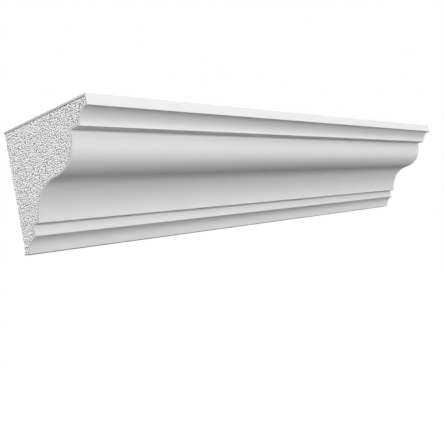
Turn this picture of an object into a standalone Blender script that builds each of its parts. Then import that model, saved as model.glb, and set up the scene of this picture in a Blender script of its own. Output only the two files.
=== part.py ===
# A straight length of cornice moulding for the outside of a house: a foam core that is cut to
# the profile, and a thin hard coat on its top, its moulded front and its underside.
# Metres, +Z up. The wall is the plane y = 0, the front looks towards -Y and the length runs
# along X. The origin is the middle of the bare foam back, where the moulding meets the wall.

import math

import bmesh
import bpy
from mathutils import Vector

# Driving dimensions
LENGTH = 2.000
PROJECTION = 0.300
HEIGHT = 0.300
COAT = 0.004
TOUCHING_GAP = 0.0003

# The moulded front, from the top down. "Out" is measured from the wall.
FASCIA_HEIGHT = 0.0265
CAVETTO_RADIUS = 0.0362
SOFFIT_WIDTH = 0.0298
CYMA_TURN_OUT = 0.154
CYMA_TURN_DOWN = 0.150
CYMA_FOOT_OUT = 0.0726
CYMA_FOOT_DOWN = 0.2368
LIP_OUT = 0.0525
LIP_HEIGHT = 0.0268
NOSE_OUT = 0.0193

# Directions on the profile: 0 runs level towards the wall and 90 runs straight down.
LEVEL = 0
PLUMB = 90
CYMA_TURN_SLOPE = 2
CYMA_FOOT_SLOPE = 82
LOW_HOLLOW_START_SLOPE = 18
LOW_HOLLOW_END_SLOPE = 70

# How far each curve's handles reach towards the crossing of its end tangents. The first value
# makes a true quarter circle, and a larger one a fuller curve.
QUARTER_CIRCLE = 0.5523
OVOLO_FULLNESS = 0.61
HOLLOW_FULLNESS = 0.61
LOW_HOLLOW_FULLNESS = 0.80

CAVETTO_STEPS = 12
OVOLO_STEPS = 26
HOLLOW_STEPS = 24
LOW_HOLLOW_STEPS = 10
SHARP_CORNER = math.radians(25)


def heading(degrees):
    """The unit vector of a direction on the profile, as (out, down)."""
    angle = math.radians(degrees)
    return Vector((-math.cos(angle), math.sin(angle)))


def crossing(point_a, along_a, point_b, along_b):
    """Where two lines of the profile cross."""
    turn = along_a.cross(along_b)
    return point_a + along_a * ((point_b - point_a).cross(along_b) / turn)


def curve(start, leaving, end, arriving, fullness, steps):
    """The points of a smooth curve after its start, which leaves and arrives at given slopes."""
    corner = crossing(start, heading(leaving), end, heading(arriving))
    handle_a = start.lerp(corner, fullness)
    handle_b = end.lerp(corner, fullness)
    points = []
    for step in range(1, steps + 1):
        t = step / steps
        s = 1 - t
        points.append(start * s**3 + handle_a * (3 * s * s * t) + handle_b * (3 * s * t * t) + end * t**3)
    return points


def front_profile():
    """The coat's outer face as (out, down) points, from the wall at the top to the wall below."""
    soffit_down = FASCIA_HEIGHT + CAVETTO_RADIUS
    top_back = Vector((0, 0))
    top_front = Vector((PROJECTION, 0))
    fascia_foot = Vector((PROJECTION, FASCIA_HEIGHT))
    cavetto_foot = Vector((PROJECTION - CAVETTO_RADIUS, soffit_down))
    soffit_root = Vector((PROJECTION - CAVETTO_RADIUS - SOFFIT_WIDTH, soffit_down))
    cyma_turn = Vector((CYMA_TURN_OUT, CYMA_TURN_DOWN))
    cyma_foot = Vector((CYMA_FOOT_OUT, CYMA_FOOT_DOWN))
    lip_root = Vector((LIP_OUT, CYMA_FOOT_DOWN))
    lip_foot = Vector((LIP_OUT, CYMA_FOOT_DOWN + LIP_HEIGHT))
    nose = Vector((NOSE_OUT, HEIGHT))
    bottom_back = Vector((0, HEIGHT))

    points = [top_back, top_front, fascia_foot]
    points += curve(fascia_foot, LEVEL, cavetto_foot, PLUMB, QUARTER_CIRCLE, CAVETTO_STEPS)
    points.append(soffit_root)
    points += curve(soffit_root, PLUMB, cyma_turn, CYMA_TURN_SLOPE, OVOLO_FULLNESS, OVOLO_STEPS)
    points += curve(cyma_turn, CYMA_TURN_SLOPE, cyma_foot, CYMA_FOOT_SLOPE, HOLLOW_FULLNESS, HOLLOW_STEPS)
    points += [lip_root, lip_foot]
    points += curve(
        lip_foot, LOW_HOLLOW_START_SLOPE, nose, LOW_HOLLOW_END_SLOPE, LOW_HOLLOW_FULLNESS, LOW_HOLLOW_STEPS
    )
    points.append(bottom_back)
    return points


def inset_profile(points, depth):
    """The same profile at a constant depth inside the moulding, still ending on the wall."""
    lines = []
    for here, there in zip(points, points[1:]):
        along = (there - here).normalized()
        inward = Vector((-along.y, along.x))
        lines.append((here + inward * depth, along))
    inset = [points[0] + Vector((0, depth))]
    for (point_a, along_a), (point_b, along_b) in zip(lines, lines[1:]):
        inset.append(crossing(point_a, along_a, point_b, along_b))
    inset.append(points[-1] - Vector((0, depth)))
    return inset


def extrude_section(name, outline, cap_faces, material):
    """A solid of the moulding's length, from an outline and the faces that close each end."""
    mesh = bpy.data.meshes.new(name)
    shape = bmesh.new()
    ends = []
    for x in (-LENGTH / 2, LENGTH / 2):
        ends.append([shape.verts.new((x, -p.x, HEIGHT / 2 - p.y)) for p in outline])
    near, far = ends
    for index in range(len(outline)):
        after = (index + 1) % len(outline)
        shape.faces.new((near[index], near[after], far[after], far[index]))
    for corners in cap_faces:
        shape.faces.new([near[index] for index in corners])
        shape.faces.new([far[index] for index in reversed(corners)])
    bmesh.ops.recalc_face_normals(shape, faces=shape.faces[:])
    shape.to_mesh(mesh)
    shape.free()
    mesh.shade_smooth()
    mesh.set_sharp_from_angle(angle=SHARP_CORNER)
    mesh.materials.append(material)
    piece = bpy.data.objects.new(name, mesh)
    bpy.context.collection.objects.link(piece)
    return piece


def plain_material(name, colour, roughness):
    """A Principled material with the part's own colour and roughness."""
    material = bpy.data.materials.new(name)
    material.use_nodes = True
    shader = material.node_tree.nodes["Principled BSDF"]
    shader.inputs["Base Color"].default_value = (*colour, 1)
    shader.inputs["Roughness"].default_value = roughness
    shader.inputs["Metallic"].default_value = 0
    return material


def make_foam_core(profile):
    """The foam block inside the coat, bare on its back and at both ends."""
    outline = inset_profile(profile, COAT + TOUCHING_GAP)
    foam = plain_material("bare foam", (0.82, 0.82, 0.81), 0.9)
    return extrude_section("foam_core", outline, [list(range(len(outline)))], foam)


def make_coat(profile):
    """The hard coat: the outer profile and the same profile at the coat's thickness inside it."""
    inner = inset_profile(profile, COAT)
    outline = profile + inner[::-1]
    last = len(outline) - 1
    strips = []
    for index in range(len(profile) - 1):
        strips.append([index, index + 1, last - index - 1, last - index])
    plaster = plain_material("white coat", (0.86, 0.86, 0.86), 0.6)
    return extrude_section("coat", outline, strips, plaster)


def main():
    for old in list(bpy.data.objects):
        bpy.data.objects.remove(old, do_unlink=True)
    cornice = bpy.data.objects.new("cornice", None)
    bpy.context.collection.objects.link(cornice)
    profile = front_profile()
    for piece in (make_foam_core(profile), make_coat(profile)):
        piece.parent = cornice


main()
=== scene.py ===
import math
import random

import bpy
import numpy as np
from mathutils import Matrix, Vector, geometry, kdtree, noise


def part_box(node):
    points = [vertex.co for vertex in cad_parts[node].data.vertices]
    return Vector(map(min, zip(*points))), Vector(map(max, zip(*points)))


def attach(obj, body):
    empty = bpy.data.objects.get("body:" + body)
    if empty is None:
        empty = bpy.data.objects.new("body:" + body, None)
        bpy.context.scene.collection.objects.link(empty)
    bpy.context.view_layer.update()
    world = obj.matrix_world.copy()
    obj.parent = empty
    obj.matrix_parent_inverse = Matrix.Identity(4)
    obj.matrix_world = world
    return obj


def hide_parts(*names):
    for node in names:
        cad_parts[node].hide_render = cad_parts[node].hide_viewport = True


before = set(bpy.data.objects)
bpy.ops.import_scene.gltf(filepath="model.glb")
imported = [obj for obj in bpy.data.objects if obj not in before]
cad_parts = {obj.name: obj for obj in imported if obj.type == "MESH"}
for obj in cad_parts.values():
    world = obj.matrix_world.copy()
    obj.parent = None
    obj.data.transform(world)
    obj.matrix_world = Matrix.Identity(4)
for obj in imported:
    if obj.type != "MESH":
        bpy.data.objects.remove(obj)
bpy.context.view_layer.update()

# A coated foam cornice for a house front: sawn foam ends, a bare back and a thin white mineral coat.
# The wall is y = 0, the front looks towards -Y, the length runs along X.

mm = 0.001
coatLow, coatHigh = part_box("coat")
halfLength = (coatHigh.x - coatLow.x) / 2 / mm
projection = (coatHigh.y - coatLow.y) / mm
height = (coatHigh.z - coatLow.z) / mm
print("frame loaded, section", round(projection), "x", round(height), "mm")

# The moulded front in mm: "out" from the wall and "down" from the top.
# Slopes are in degrees: 0 runs level towards the wall and 90 runs straight down.
front = {
    "fasciaHeight": 26.5,
    "cavettoRadius": 36.2,
    "quarterCircle": 0.5523,  # handle length that makes a true quarter circle
    "soffitWidth": 29.8,
    "cymaTurn": (154, 150),  # where the round above passes into the hollow below
    "cymaTurnSlope": 2,
    "cymaFoot": (72.6, 236.8),
    "cymaFootSlope": 82,
    "cymaFullness": 0.61,
    "lipOut": 52.5,
    "lipHeight": 26.8,
    "noseOut": 19.3,
    "lowHollowSlopes": (18, 70),  # at its top and at its foot
    "lowHollowFullness": 0.80,
}


# outline of the moulding

def heading(degrees):
    angle = math.radians(degrees)
    return np.array((-math.cos(angle), math.sin(angle)))


def crossing(pointA, alongA, pointB, alongB):
    turn = alongA[0] * alongB[1] - alongA[1] * alongB[0]
    gap = pointB - pointA
    return pointA + alongA * (gap[0] * alongB[1] - gap[1] * alongB[0]) / turn


def sweep(start, leaving, end, arriving, fullness, steps):
    # a smooth curve from start to end, without its start point
    start, end = np.array(start, float), np.array(end, float)
    corner = crossing(start, heading(leaving), end, heading(arriving))
    handleA = start + (corner - start) * fullness
    handleB = end + (corner - end) * fullness
    t = np.linspace(0, 1, steps + 1)[1:, None]
    s = 1 - t
    return list(start * s**3 + handleA * 3 * s * s * t + handleB * 3 * s * t * t + end * t**3)


def mouldedFront(steps):
    # from the wall along the top, down the front and back to the wall along the underside
    soffitDown = front["fasciaHeight"] + front["cavettoRadius"]
    filletOut = projection - front["cavettoRadius"]
    fasciaFoot = (projection, front["fasciaHeight"])
    cavettoFoot = (filletOut, soffitDown)
    soffitRoot = (filletOut - front["soffitWidth"], soffitDown)
    turn, turnSlope = front["cymaTurn"], front["cymaTurnSlope"]
    foot, footSlope = front["cymaFoot"], front["cymaFootSlope"]
    lipRoot = (front["lipOut"], foot[1])
    lipFoot = (front["lipOut"], foot[1] + front["lipHeight"])
    nose = (front["noseOut"], height)
    hollowTop, hollowFoot = front["lowHollowSlopes"]
    points = [(0, 0), (projection, 0), fasciaFoot]
    points += sweep(fasciaFoot, 0, cavettoFoot, 90, front["quarterCircle"], steps)
    points += [soffitRoot]
    points += sweep(soffitRoot, 90, turn, turnSlope, front["cymaFullness"], 2 * steps)
    points += sweep(turn, turnSlope, foot, footSlope, front["cymaFullness"], 2 * steps)
    points += [lipRoot, lipFoot]
    points += sweep(lipFoot, hollowTop, nose, hollowFoot, front["lowHollowFullness"], steps)
    points += [(0, height)]
    return np.array(points, float)


def insetLine(points, depth):
    # the same line at a constant depth inside the moulding, still ending on the wall
    along = np.diff(points, axis=0)
    along /= np.linalg.norm(along, axis=1)[:, None]
    inward = np.stack((-along[:, 1], along[:, 0]), axis=1)
    starts = points[:-1] + inward * depth
    line = [points[0] + (0, depth)]
    for k in range(len(starts) - 1):
        line.append(crossing(starts[k], along[k], starts[k + 1], along[k + 1]))
    line.append(points[-1] - (0, depth))
    return np.array(line)


def spacedLine(points, spacing):
    # the same line with its corners kept and no stretch longer than the spacing
    line = [points[0]]
    for here, there in zip(points, points[1:]):
        parts = max(1, math.ceil(np.linalg.norm(there - here) / spacing))
        for k in range(1, parts + 1):
            line.append(here + (there - here) * k / parts)
    return np.array(line)


def easedLine(points, arris, nook):
    # every sharp corner rounded over: the outer ones by the arris, the inner ones by the nook
    smoothTurn = 20  # degrees, up to which two stretches belong to one curve
    clearance = 0.05  # mm kept free between a rounding and the next point
    bendPoints = 7
    step = np.diff(points, axis=0)
    length = np.linalg.norm(step, axis=1)
    along = step / length[:, None]
    travel = np.concatenate(([0], np.cumsum(length)))
    line = {distance: point for distance, point in zip(travel, points)}
    for k in range(1, len(points) - 1):
        before, after = along[k - 1], along[k]
        if before @ after > math.cos(math.radians(smoothTurn)):
            continue
        reach = arris if before[0] * after[1] > before[1] * after[0] else nook
        for distance in [d for d in line if abs(d - travel[k]) < reach + clearance]:
            del line[distance]
        start, end = (
            np.array([np.interp(travel[k] + offset, travel, points[:, axis]) for axis in (0, 1)])
            for offset in (-reach, reach)
        )
        for t in np.linspace(0, 1, bendPoints):
            bend = start * (1 - t) ** 2 + points[k] * 2 * t * (1 - t) + end * t**2
            line[travel[k] + (2 * t - 1) * reach] = bend
    return np.array([line[distance] for distance in sorted(line)])


def lineNormals(line):
    # unit vectors that point into the moulding, for each point of the line
    along = np.gradient(line, axis=0)
    along /= np.linalg.norm(along, axis=1)[:, None]
    normals = np.stack((-along[:, 1], along[:, 0]), axis=1)
    normals[0], normals[-1] = (0, 1), (0, -1)
    return normals


# mesh help

def place(x, out, down):
    # mm along the moulding, out from the wall and down from the top, to a place in the model
    return Vector((x * mm, -out * mm, coatHigh.z - down * mm))


def insideLine(points, line):
    # which points lie inside a closed line
    x, y = points[:, 0], points[:, 1]
    inside = np.zeros(len(points), bool)
    for (xa, ya), (xb, yb) in zip(line, np.roll(line, -1, axis=0)):
        if ya == yb:
            continue
        straddles = (ya > y) != (yb > y)
        inside ^= straddles & (x < (xb - xa) * (y - ya) / (yb - ya) + xa)
    return inside


def pointTree(points):
    # finds the points nearest to a place
    tree = kdtree.KDTree(len(points))
    for k, (u, v) in enumerate(points):
        tree.insert((u, v, 0), k)
    tree.balance()
    return tree


def pointsInside(loop, spacing, seed):
    # a jittered triangular grid inside a closed line, clear of the line itself
    rowHeight, jitter, clearance = 0.87, 0.2, 0.6  # shares of the spacing
    rand = np.random.default_rng(seed)
    low, high = loop.min(0), loop.max(0)
    grid = []
    for row, v in enumerate(np.arange(low[1] + spacing / 2, high[1], spacing * rowHeight)):
        us = np.arange(low[0] + (row % 2) * spacing / 2, high[0], spacing)
        grid.append(np.stack((us, np.full(len(us), v)), axis=1))
    grid = np.vstack(grid)
    grid += rand.uniform(-jitter, jitter, grid.shape) * spacing
    grid = grid[insideLine(grid, loop)]
    tree = pointTree(loop)
    return grid[[tree.find((u, v, 0))[2] > clearance * spacing for u, v in grid]]


def fillSection(line, inner):
    # triangles that fill a closed line and meet its points, with inner points added
    onlyInside, closeness = 1, 1e-6
    points = np.vstack([line, inner]) if len(inner) else line
    corners = [Vector(point) for point in points]
    count = len(line)
    edges = [(k, (k + 1) % count) for k in range(count)]
    places, _, faces, origins, *_ = geometry.delaunay_2d_cdt(corners, edges, [], onlyInside, closeness)
    source = [origin[0] if origin else None for origin in origins]
    assert None not in source and len(places) == len(points)
    return [[source[k] for k in face] for face in faces]


def newPiece(name, verts, faces, materials, sharpAngle, faceMaterial=None):
    mesh = bpy.data.meshes.new(name)
    mesh.from_pydata([tuple(v) for v in verts], [], faces)
    for material in materials:
        mesh.materials.append(material)
    if faceMaterial is not None:
        mesh.polygons.foreach_set("material_index", faceMaterial)
    mesh.validate()
    mesh.update()
    mesh.shade_smooth()
    mesh.set_sharp_from_angle(angle=math.radians(sharpAngle))
    piece = bpy.data.objects.new(name, mesh)
    bpy.context.scene.collection.objects.link(piece)
    return piece


# material help

def linearColour(hexText):
    values = [int(hexText[k:k + 2], 16) / 255 for k in (1, 3, 5)]
    linear = [v / 12.92 if v <= 0.04045 else ((v + 0.055) / 1.055) ** 2.4 for v in values]
    return (*linear, 1.0)


def addNode(tree, kind, settings=None, links=None):
    # settings: properties by name, or input sockets by name or number. links: socket to (node, output)
    node = tree.nodes.new(kind)
    for key, value in (settings or {}).items():
        if isinstance(key, str) and hasattr(node, key):
            setattr(node, key, value)
        else:
            node.inputs[key].default_value = value
    for key, (source, output) in (links or {}).items():
        tree.links.new(source.outputs[output], node.inputs[key])
    return node


def newMaterial(name):
    material = bpy.data.materials.new(name)
    material.use_nodes = True
    tree = material.node_tree
    return material, tree, tree.nodes["Principled BSDF"]


# foam core

foam = {
    "underCoat": 4.3,  # mm from the coat's face to the foam, the coat and a thin gap
    "curveSteps": 14,  # points along the cavetto, with twice as many along each half of the ogee
    "meshSpacing": 1.1,  # mm between the points of the sawn faces
    "sharpAngle": 60,  # degrees, above which an edge looks sharp
    "seed": 4,  # any whole number but 0
    "margin": 0.02,  # mm that the cut face keeps inside the moulding's ends and its back
    "meanPlane": (3.0, 1.4),  # mean depth of the cut face behind the moulding's near and far end
    "beadPitch": 5.0,  # real beads are 3 to 5 mm apart, drawn at the coarse end so that they show
    "beadStray": 0.38,  # how far a bead lies off its row, as a share of the pitch
    "wander": (5.0, 1.3),  # mm across and high, the waves in the border between two beads
    "crease": 3.2,  # depth of the creases between beads
    "plateau": 3.2,  # how flat a bead's cut face is before it turns into the crease
    "meanDome": 0.72,  # mean height of a bead as a share of the crease
    "lean": 0.08,  # steepest slope of a bead's own face
    "scatter": 0.4,  # how far single beads stand out or lie back
    "crumb": (1.5, 0.3),  # mm across and high, fine unevenness on every bead
    "topGroove": (1.8, 1.2, 0.6),  # width, depth and painted shadow of the groove torn out beside the top coat
    "raggedEdge": (0.5, 0.3),  # mm from the wall, and the share of the relief that the back edge follows
    "backSpacing": 9.0,  # mm between the points of the bare back
    "backDent": (23, 17, 0.7),  # mm along, up and deep, how uneven the bare back is
    "bead": "#f8f8f8",
    "paintedCreaseShade": "#303030",  # painted shade in the creases between beads
    "roughness": (0.6, 0.8),  # of a bead's skin and of a crease
    "cell": (0.4, 0.05),  # mm across and deep, real cells are near 0.1 mm, drawn coarser so that they show
    "backBead": (4.8, 0.5),  # mm across and deep, where the block was wire-cut flat
    "backCrease": (0.16, 0.5),  # width as a share of a bead, and how dark the painted shade at its edges is, on the back
    "facingBack": 0.7,  # how squarely a face looks to the wall to count as the back
}


def sawnPolystyreneBeads():
    # Expanded polystyrene, sawn across at the ends and hot-wire cut on the back: white beads with
    # a satin skin, shade painted dark grey into the creases between them, and a fine open cell where they
    # are cut.
    material, tree, shader = newMaterial("sawnPolystyreneBeads")
    spot = addNode(tree, "ShaderNodeTexCoord")
    facing = addNode(tree, "ShaderNodeSeparateXYZ", links={"Vector": (spot, "Normal")})
    onBack = addNode(tree, "ShaderNodeMath", {"operation": "GREATER_THAN", 1: foam["facingBack"]},
                     {0: (facing, "Y")})
    beadWidth, beadDepth = foam["backBead"]
    wireCut = addNode(tree, "ShaderNodeTexVoronoi", {
        "feature": "DISTANCE_TO_EDGE", "Scale": 1 / (beadWidth * mm),
    }, {"Vector": (spot, "Object")})
    creaseWidth, creaseShade = foam["backCrease"]
    # painted shade on the back: darker towards the edge of each bead
    wireCrease = addNode(tree, "ShaderNodeMapRange", {
        "From Max": creaseWidth, "To Min": creaseShade, "To Max": 0.0,
    }, {"Value": (wireCut, "Distance")})
    sawn = addNode(tree, "ShaderNodeAttribute", {"attribute_name": "crease"})
    crease = addNode(tree, "ShaderNodeMix", links={
        "Factor": (onBack, "Value"), "A": (sawn, "Fac"), "B": (wireCrease, "Result"),
    })
    # painted shade: the colour goes dark grey in the creases between beads and beside the top coat
    colour = addNode(tree, "ShaderNodeMix", {
        "data_type": "RGBA", 6: linearColour(foam["bead"]), 7: linearColour(foam["paintedCreaseShade"]),
    }, {"Factor": (crease, "Result")})
    beadRoughness, creaseRoughness = foam["roughness"]
    gloss = addNode(tree, "ShaderNodeMapRange", {"To Min": beadRoughness, "To Max": creaseRoughness},
                    {"Value": (crease, "Result")})
    cellWidth, cellDepth = foam["cell"]
    cells = addNode(tree, "ShaderNodeTexNoise", {"Scale": 1 / (cellWidth * mm), "Detail": 1.0},
                    {"Vector": (spot, "Object")})
    cellRelief = addNode(tree, "ShaderNodeBump", {"Strength": 0.5, "Distance": cellDepth * mm},
                         {"Height": (cells, "Fac")})
    wireHeight = addNode(tree, "ShaderNodeMath", {"operation": "MULTIPLY"},
                         {0: (onBack, "Value"), 1: (wireCrease, "Result")})
    beadRelief = addNode(tree, "ShaderNodeBump", {
        "invert": True, "Strength": 0.7, "Distance": beadDepth * mm,
    }, {"Height": (wireHeight, "Value"), "Normal": (cellRelief, "Normal")})
    tree.links.new(colour.outputs[2], shader.inputs["Base Color"])  # its colour result
    tree.links.new(gloss.outputs["Result"], shader.inputs["Roughness"])
    tree.links.new(beadRelief.outputs["Normal"], shader.inputs["Normal"])
    return material


def packedBeads(seed):
    # beads packed over the section, a rounded cell around every one and each at its own height
    pitch, stray = foam["beadPitch"], foam["beadStray"]
    wanderWidth, wanderReach = foam["wander"]
    crumbWidth, crumbHeight = foam["crumb"]
    crumbLayer = seed + 9  # another slice of the noise than the wander's
    extra = 2  # rows and columns beyond the section
    rand = random.Random(seed)
    centres, cutFaces = [], []
    for row in range(-extra, int(height / pitch) + extra + 1):
        for column in range(-extra, int(projection / pitch) + extra + 1):
            u = (column + 0.5 * (row % 2) + rand.uniform(-stray, stray)) * pitch
            v = (row + rand.uniform(-stray, stray)) * pitch
            centres.append((u, v))
            cutFaces.append([rand.uniform(-1, 1) for _ in range(3)])
    tree = pointTree(centres)

    def relief(u, v):
        # height above the mean, and how deep in a crease the point lies, from 0 to 1
        wander = noise.noise_vector((u / wanderWidth, v / wanderWidth, seed)) * wanderReach
        spot = (u + wander.x, v + wander.y, 0)
        (centre, bead, near), (_, _, second) = tree.find_n(spot, 2)
        lift, leanU, leanV = cutFaces[bead]
        crease = (2 * near / (near + second)) ** foam["plateau"]
        rise = foam["crease"] * (math.sqrt(max(0, 1 - crease)) - foam["meanDome"])
        rise += foam["scatter"] * lift
        rise += foam["lean"] * (leanU * (spot[0] - centre.x) + leanV * (spot[1] - centre.y))
        rise += crumbHeight * noise.noise((u / crumbWidth, v / crumbWidth, crumbLayer))
        return rise, crease

    return relief


def makeFoamCore(material):
    noise.seed_set(foam["seed"])  # noise_vector would take its offsets from the clock
    grooveWidth, grooveDepth, grooveShade = foam["topGroove"]
    raggedOut, raggedShare = foam["raggedEdge"]
    spacing = foam["meshSpacing"]
    frontLine = spacedLine(insetLine(mouldedFront(foam["curveSteps"]), foam["underCoat"]), spacing)
    wallLine = spacedLine(np.array([frontLine[-1], frontLine[0]]), spacing)[1:-1]
    loop = np.vstack([frontLine, wallLine])
    inner = pointsInside(loop, spacing, foam["seed"])
    section = np.vstack([loop, inner])
    count, frontCount = len(section), len(frontLine)
    verts, faces, creases = [], [], []
    for side, meanPlane in zip((-1, 1), foam["meanPlane"]):
        relief = packedBeads(foam["seed"] + side)
        for k, (out, down) in enumerate(section):
            rise, crease = relief(out, down)
            besideTop = math.exp(-max(0, down - foam["underCoat"]) / grooveWidth)
            rise -= grooveDepth * besideTop
            # painted shadow: the foam beside the top coat is darkened as if the coat shades it
            crease = max(crease, grooveShade * besideTop)
            x = min(halfLength - foam["margin"], halfLength - meanPlane + rise)
            if frontCount <= k < len(loop):
                out = max(foam["margin"], raggedOut - raggedShare * rise)  # the saw broke out beads
            verts.append(place(side * x, out, down))
            creases.append(crease)
    for face in fillSection(loop, inner):
        faces.append(face[::-1])
        faces.append([count + k for k in face])
    # bare back: a coarse sheet that meets the fine edges of both ends
    nearEdge = [frontCount - 1, *range(frontCount, len(loop)), 0]
    farEdge = [count + k for k in reversed(nearEdge)]
    spans = round(2 * halfLength / foam["backSpacing"])
    topRow, bottomRow = [], []
    for k in range(1, spans):
        x = -halfLength + 2 * halfLength * k / spans
        for row, down in ((topRow, frontLine[0][1]), (bottomRow, frontLine[-1][1])):
            row.append(len(verts))
            verts.append(place(x, 0, down))
            creases.append(0)
    rim = nearEdge + topRow + farEdge + bottomRow[::-1]
    rimFlat = np.array([(verts[k].x / mm, verts[k].z / mm) for k in rim])
    sheetSeed = foam["seed"] + 5
    sheet = pointsInside(rimFlat, foam["backSpacing"], sheetSeed)
    lookup = rim + [len(verts) + k for k in range(len(sheet))]
    dentLength, dentHeight, dentDepth = foam["backDent"]
    dentLayer = 3  # a slice of the noise that the ends don't use
    for x, z in sheet:
        dent = dentDepth * (0.5 + 0.5 * noise.noise((x / dentLength, z / dentHeight, dentLayer)))
        verts.append(Vector((x * mm, -dent * mm, z * mm)))
        creases.append(0)
    for face in fillSection(rimFlat, sheet):
        faces.append([lookup[k] for k in reversed(face)])
    # long hidden sides under the coat
    for k in range(frontCount - 1):
        side = [k, k + 1, count + k + 1, count + k]
        if k == 0:
            side += topRow[::-1]
        if k == frontCount - 2:
            side[2:2] = bottomRow
        faces.append(side)
    piece = newPiece("foamCore", verts, faces, [material], foam["sharpAngle"])
    # the crease attribute also darkens the colour: painted shade in the creases and beside the top coat
    shade = piece.data.attributes.new("crease", "FLOAT", "POINT")
    shade.data.foreach_set("value", creases)
    return piece


# coat

coat = {
    "thickness": 4.0,
    "outerSteps": 28,  # points along the cavetto on the coat's outer face
    "innerSteps": 14,  # and on its inner face
    "sharpAngle": 35,
    "arris": 0.8,  # rounding of the outer corners
    "nook": 0.4,  # and of the inner ones
    "setBack": (0.6, 5.0),  # mm from the near and far end of the moulding to the coat's cut edges
    "unevenness": (0.35, 8.0),  # how uneven the near and far cut edge are, the far one being chipped
    "chipWidth": 7,  # mm across a chip
    "evenBehind": 12,  # mm behind the cut edge, where its unevenness has died out
    "margin": 0.3,  # mm that the chipped edge keeps inside the moulding's ends
    "cutRounding": 0.4,
    "white": "#e2e2e2",
    "shade": "#dcdcdc",
    "cloud": 120,  # mm across the faint lighter and darker patches
    "roughness": (0.62, 0.74),
    "drawLine": (300, 2.2, 0.025),  # mm along the moulding, across it, and high
    "sand": (0.5, 0.04),  # mm across and high, real sand is near 0.2 mm, drawn coarser so that it shows
    "cut": ("#a8a8a8", "#b8b8b8"),  # darker and lighter grains of the sawn edge, the raw mortar's grey deepened by painted shade of the end faces
    "cutGrit": (0.8, 0.15),  # mm across and high, the same sand torn out in crumbs
}


def bladeDrawnCement():
    # Polymer cement with fine sand, pulled along the foam under a profiled blade: chalk white
    # and dead matt, with a fine tooth and draw lines that only show when the light grazes.
    material, tree, shader = newMaterial("bladeDrawnCement")
    spot = addNode(tree, "ShaderNodeTexCoord")
    cloud = addNode(tree, "ShaderNodeTexNoise", {"Scale": 1 / (coat["cloud"] * mm), "Detail": 3.0},
                    {"Vector": (spot, "Object")})
    colour = addNode(tree, "ShaderNodeMix", {
        "data_type": "RGBA", 6: linearColour(coat["shade"]), 7: linearColour(coat["white"]),
    }, {"Factor": (cloud, "Fac")})
    smoothest, roughest = coat["roughness"]
    gloss = addNode(tree, "ShaderNodeMapRange", {"To Min": smoothest, "To Max": roughest},
                    {"Value": (cloud, "Fac")})
    lineLength, lineWidth, lineHeight = coat["drawLine"]
    drawn = addNode(tree, "ShaderNodeMapping", {
        "Scale": (1 / (lineLength * mm), 1 / (lineWidth * mm), 1 / (lineWidth * mm)),
    }, {"Vector": (spot, "Object")})
    lines = addNode(tree, "ShaderNodeTexNoise", {"Scale": 1.0, "Detail": 2.0}, {"Vector": (drawn, "Vector")})
    sandWidth, sandHeight = coat["sand"]
    sand = addNode(tree, "ShaderNodeTexNoise", {"Scale": 1 / (sandWidth * mm), "Detail": 1.0},
                   {"Vector": (spot, "Object")})
    tooth = addNode(tree, "ShaderNodeBump", {"Strength": 0.6, "Distance": sandHeight * mm},
                    {"Height": (sand, "Fac")})
    relief = addNode(tree, "ShaderNodeBump", {"Strength": 0.8, "Distance": lineHeight * mm},
                     {"Height": (lines, "Fac"), "Normal": (tooth, "Normal")})
    tree.links.new(colour.outputs[2], shader.inputs["Base Color"])  # its colour result
    tree.links.new(gloss.outputs["Result"], shader.inputs["Roughness"])
    tree.links.new(relief.outputs["Normal"], shader.inputs["Normal"])
    return material


def sawnCement():
    # The same coat where the saw went through: the raw mortar, greyer and rougher, its grey deepened
    # with painted shade of the end faces, so that the thin cut edge reads as a line around the foam.
    material, tree, shader = newMaterial("sawnCement")
    spot = addNode(tree, "ShaderNodeTexCoord")
    gritWidth, gritHeight = coat["cutGrit"]
    grit = addNode(tree, "ShaderNodeTexNoise", {"Scale": 1 / (gritWidth * mm), "Detail": 2.0},
                   {"Vector": (spot, "Object")})
    # painted shade: the cut edge's grey stands partly for the shade that falls on the end faces
    darker, lighter = coat["cut"]
    colour = addNode(tree, "ShaderNodeMix", {
        "data_type": "RGBA", 6: linearColour(darker), 7: linearColour(lighter),
    }, {"Factor": (grit, "Fac")})
    relief = addNode(tree, "ShaderNodeBump", {"Strength": 0.7, "Distance": gritHeight * mm},
                     {"Height": (grit, "Fac")})
    tree.links.new(colour.outputs[2], shader.inputs["Base Color"])  # its colour result
    tree.links.new(relief.outputs["Normal"], shader.inputs["Normal"])
    shader.inputs["Roughness"].default_value = coat["roughness"][1]
    return material


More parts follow.
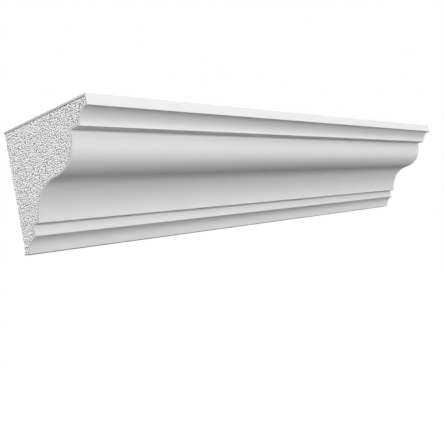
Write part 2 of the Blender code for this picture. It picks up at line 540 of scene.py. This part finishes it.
def makeCoat(material, cutMaterial):
    outer = easedLine(mouldedFront(coat["outerSteps"]), coat["arris"], coat["nook"])
    inward = lineNormals(outer)
    inner = insetLine(mouldedFront(coat["innerSteps"]), coat["thickness"])[::-1]
    rounding = coat["cutRounding"]
    midway = rounding * 0.3  # a quarter circle halfway round
    # depth behind the cut edge, how far the outer face is drawn in, and the share of unevenness
    steps = [(0, rounding, 1), (midway, midway, 1), (rounding, 0, 1), (coat["evenBehind"], 0, 0)]
    stations = []
    for side, setBack, unevenness in zip((-1, 1), coat["setBack"], coat["unevenness"]):
        for depth, drawnIn, share in steps[::-side]:  # the far end's come in reverse
            stations.append((side, halfLength - setBack - depth, drawnIn, unevenness * share))
    verts, faces, isCut = [], [], []
    chipWidth = coat["chipWidth"]
    chipLayer = 7  # the two ends lie in different slices of the noise
    for side, distance, drawnIn, unevenness in stations:
        for out, down in np.vstack([outer + inward * drawnIn, inner]):
            chip = noise.noise((out / chipWidth, down / chipWidth, side * chipLayer))
            further = min(side * unevenness * chip, halfLength - coat["margin"] - distance)
            verts.append(place(side * (distance + further), out, down))
    count = len(outer) + len(inner)
    lastStation = len(stations) - 1
    for number in range(lastStation):
        a, b = number * count, (number + 1) * count
        for k in range(count):
            j = (k + 1) % count
            faces.append([a + k, a + j, b + j, b + k])
            isCut.append(number in (0, lastStation - 1))
    cutLoop = np.vstack([outer + inward * rounding, inner])
    for face in fillSection(cutLoop, []):
        faces.append(face[::-1])
        faces.append([lastStation * count + k for k in face])
        isCut += [True, True]
    return newPiece("coatSkin", verts, faces, [material, cutMaterial], coat["sharpAngle"], isCut)


# camera, from the lines of the photograph

view = {
    "place": (-2.0081, -1.3560, -0.2813),
    "right": (0.60445, -0.76833, -0.21048),
    "down": (-0.01509, 0.25312, -0.96732),
    "focal": 694.2,  # pixels
    "middle": 169.71,  # picture height of the optical axis, in pixels
    "picture": 444,
    "sensor": 36,  # mm
    "clip": (0.05, 60),
}


def setCamera():
    data = bpy.data.cameras.new("camera")
    data.sensor_fit = "HORIZONTAL"
    data.sensor_width = view["sensor"]
    data.lens = view["focal"] / view["picture"] * view["sensor"]
    data.shift_y = (view["middle"] - view["picture"] / 2) / view["picture"]
    data.clip_start, data.clip_end = view["clip"]
    camera = bpy.data.objects.new("camera", data)
    bpy.context.scene.collection.objects.link(camera)
    right, down = Vector(view["right"]).normalized(), Vector(view["down"])
    up = -(down - down.project(right)).normalized()
    back = right.cross(up)
    turn = Matrix((right, up, back)).transposed()
    camera.matrix_world = Matrix.Translation(view["place"]) @ turn.to_4x4()
    bpy.context.scene.camera = camera


# floor and light

studio = {
    "floorLevel": -1.4,  # well below the camera, which looks up at the moulding
    "floorSize": 14,
    "paper": "#f4f4f4",
    "paperRoughness": 0.9,
    "white": "#ffffff",  # light of the background and of the lit paper
    "distance": 6.0,  # of the lamps from the middle
    "middle": (0, -0.12, 0),
    # azimuth from the front towards the near end, elevation, width in metres, watts
    "lamps": {
        "frontPanel": (22, 0, 2.0, 177),
        "frontKey": (10, 10, 0.7, 80),
        "lowPanel": (60, -30, 2.0, 20),
        "rightPanel": (-20, 30, 2.0, 96),
        "rightKey": (-30, 40, 0.7, 84),
        "farPanel": (-75, 0, 2.0, 52),
        "farLow": (-90, -15, 2.0, 68),
        "nearPanel": (98, 28, 2.0, 251),
        "nearLow": (100, -20, 2.0, 83),
        "farEndPanel": (-98, 10, 2.0, 180),
        "backPanel": (180, 0, 2.0, 240),
    },
}


def makeFloor():
    size, level = studio["floorSize"], studio["floorLevel"]
    mesh = bpy.data.meshes.new("floor")
    corners = [(-size, -size, level), (size, -size, level), (size, size, level), (-size, size, level)]
    mesh.from_pydata(corners, [], [(0, 1, 2, 3)])
    floor = bpy.data.objects.new("floor", mesh)
    bpy.context.scene.collection.objects.link(floor)
    # white seamless paper, lit so that it burns out to the same white as the background
    material, _, shader = newMaterial("seamlessPaper")
    shader.inputs["Base Color"].default_value = linearColour(studio["paper"])
    shader.inputs["Roughness"].default_value = studio["paperRoughness"]
    shader.inputs["Emission Color"].default_value = linearColour(studio["white"])
    shader.inputs["Emission Strength"].default_value = 1.0
    mesh.materials.append(material)
    floor.visible_diffuse = False
    floor.visible_glossy = False
    floor.visible_shadow = False  # the low lamps shine up through it


def setLight():
    scene = bpy.context.scene
    scene.view_settings.view_transform = "Standard"
    world = bpy.data.worlds.new("studio")
    scene.world = world
    world.use_nodes = True
    backdrop = world.node_tree.nodes["Background"]
    backdrop.inputs["Color"].default_value = linearColour(studio["white"])
    backdrop.inputs["Strength"].default_value = 1.0
    world.cycles_visibility.diffuse = False
    world.cycles_visibility.glossy = False
    for name, (azimuth, elevation, width, watts) in studio["lamps"].items():
        turn, rise = math.radians(azimuth), math.radians(elevation)
        across = math.cos(rise)
        towards = Vector((-math.sin(turn) * across, -math.cos(turn) * across, math.sin(rise)))
        data = bpy.data.lights.new(name, "AREA")
        data.shape = "DISK"
        data.size = width
        data.energy = watts
        lamp = bpy.data.objects.new(name, data)
        scene.collection.objects.link(lamp)
        lamp.location = Vector(studio["middle"]) + towards * studio["distance"]
        lamp.rotation_euler = towards.to_track_quat("Z", "Y").to_euler()
        lamp.visible_camera = False


# build

coatMaterial = bladeDrawnCement()
foamMaterial = sawnPolystyreneBeads()
foamCore = makeFoamCore(foamMaterial)
print("foam core made,", len(foamCore.data.polygons), "faces")
coatSkin = makeCoat(coatMaterial, sawnCement())
print("coat made,", len(coatSkin.data.polygons), "faces")
for piece, node, slot in ((foamCore, "foam_core", "foam"), (coatSkin, "coat", "coat")):
    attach(piece, "root")
    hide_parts(node)
makeFloor()
setLight()
setCamera()
print("camera and light set")
